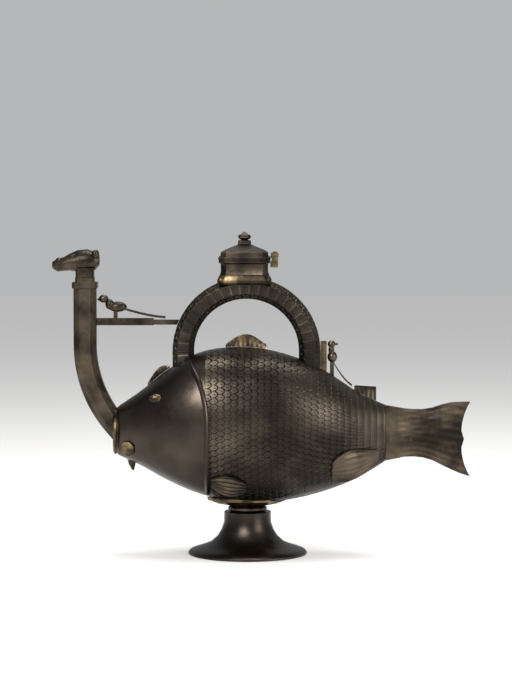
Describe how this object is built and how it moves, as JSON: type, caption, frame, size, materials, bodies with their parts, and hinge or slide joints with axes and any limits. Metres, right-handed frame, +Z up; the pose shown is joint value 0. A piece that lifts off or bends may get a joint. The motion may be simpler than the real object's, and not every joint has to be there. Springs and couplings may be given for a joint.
{
  "type": "fish-shaped ewer",
  "caption": "Fish-shaped cast ewer on a flared foot, with hollow arch handle, hinged lid on a filling neck, and an octagonal spout ending in a beast head.",
  "frame": {"origin": "centre of the part's length and width, at the foot's rim on the table", "axes": "+X from the spout head to the tail, +Y across the fish, +Z up"},
  "size_m": [0.4184, 0.119, 0.3233],
  "materials": {
    "dark_bronze": "aged cast",
    "smooth_bronze": "aged cast",
    "worn_brass": "aged cast"
  },
  "bodies": {
    "ewer": {"trunk_shell": "dark_bronze", "tail_fin": "dark_bronze", "foot_collar": "dark_bronze", "handle_arch": "dark_bronze", "filler_neck": "dark_bronze", "spout_tube": "dark_bronze", "spout_capital": "dark_bronze", "spout_head": "dark_bronze", "strut_bar": "dark_bronze", "front_bird": "dark_bronze", "rear_bird": "dark_bronze", "forehead_leaf": "dark_bronze", "rear_dorsal_fin": "dark_bronze", "pectoral_fin_left": "dark_bronze", "pectoral_fin_right": "dark_bronze", "ventral_fin_left": "dark_bronze", "ventral_fin_right": "dark_bronze", "chin_barbel": "dark_bronze", "head_shell": "smooth_bronze", "foot": "smooth_bronze", "gill_rib_left": "smooth_bronze", "gill_rib_right": "smooth_bronze", "calyx": "worn_brass", "neck_base": "worn_brass", "hinge_bracket": "worn_brass", "hinge_pin": "worn_brass", "mouth_collar": "worn_brass", "rear_post": "worn_brass", "dorsal_crest": "worn_brass", "eye_left": "worn_brass", "eye_right": "worn_brass", "lip_leaf_left": "worn_brass", "lip_leaf_right": "worn_brass"},
    "lid": {"lid": "dark_bronze", "lid_knop": "dark_bronze", "lid_knuckle": "worn_brass"}
  },
  "joints": [
    {"name": "lid_hinge", "type": "hinge", "parent": "ewer", "child": "lid", "pos_m": [0.01335, 0, 0.3], "axis": [0, 1, 0], "range_deg": [0, 110]}
  ]
}
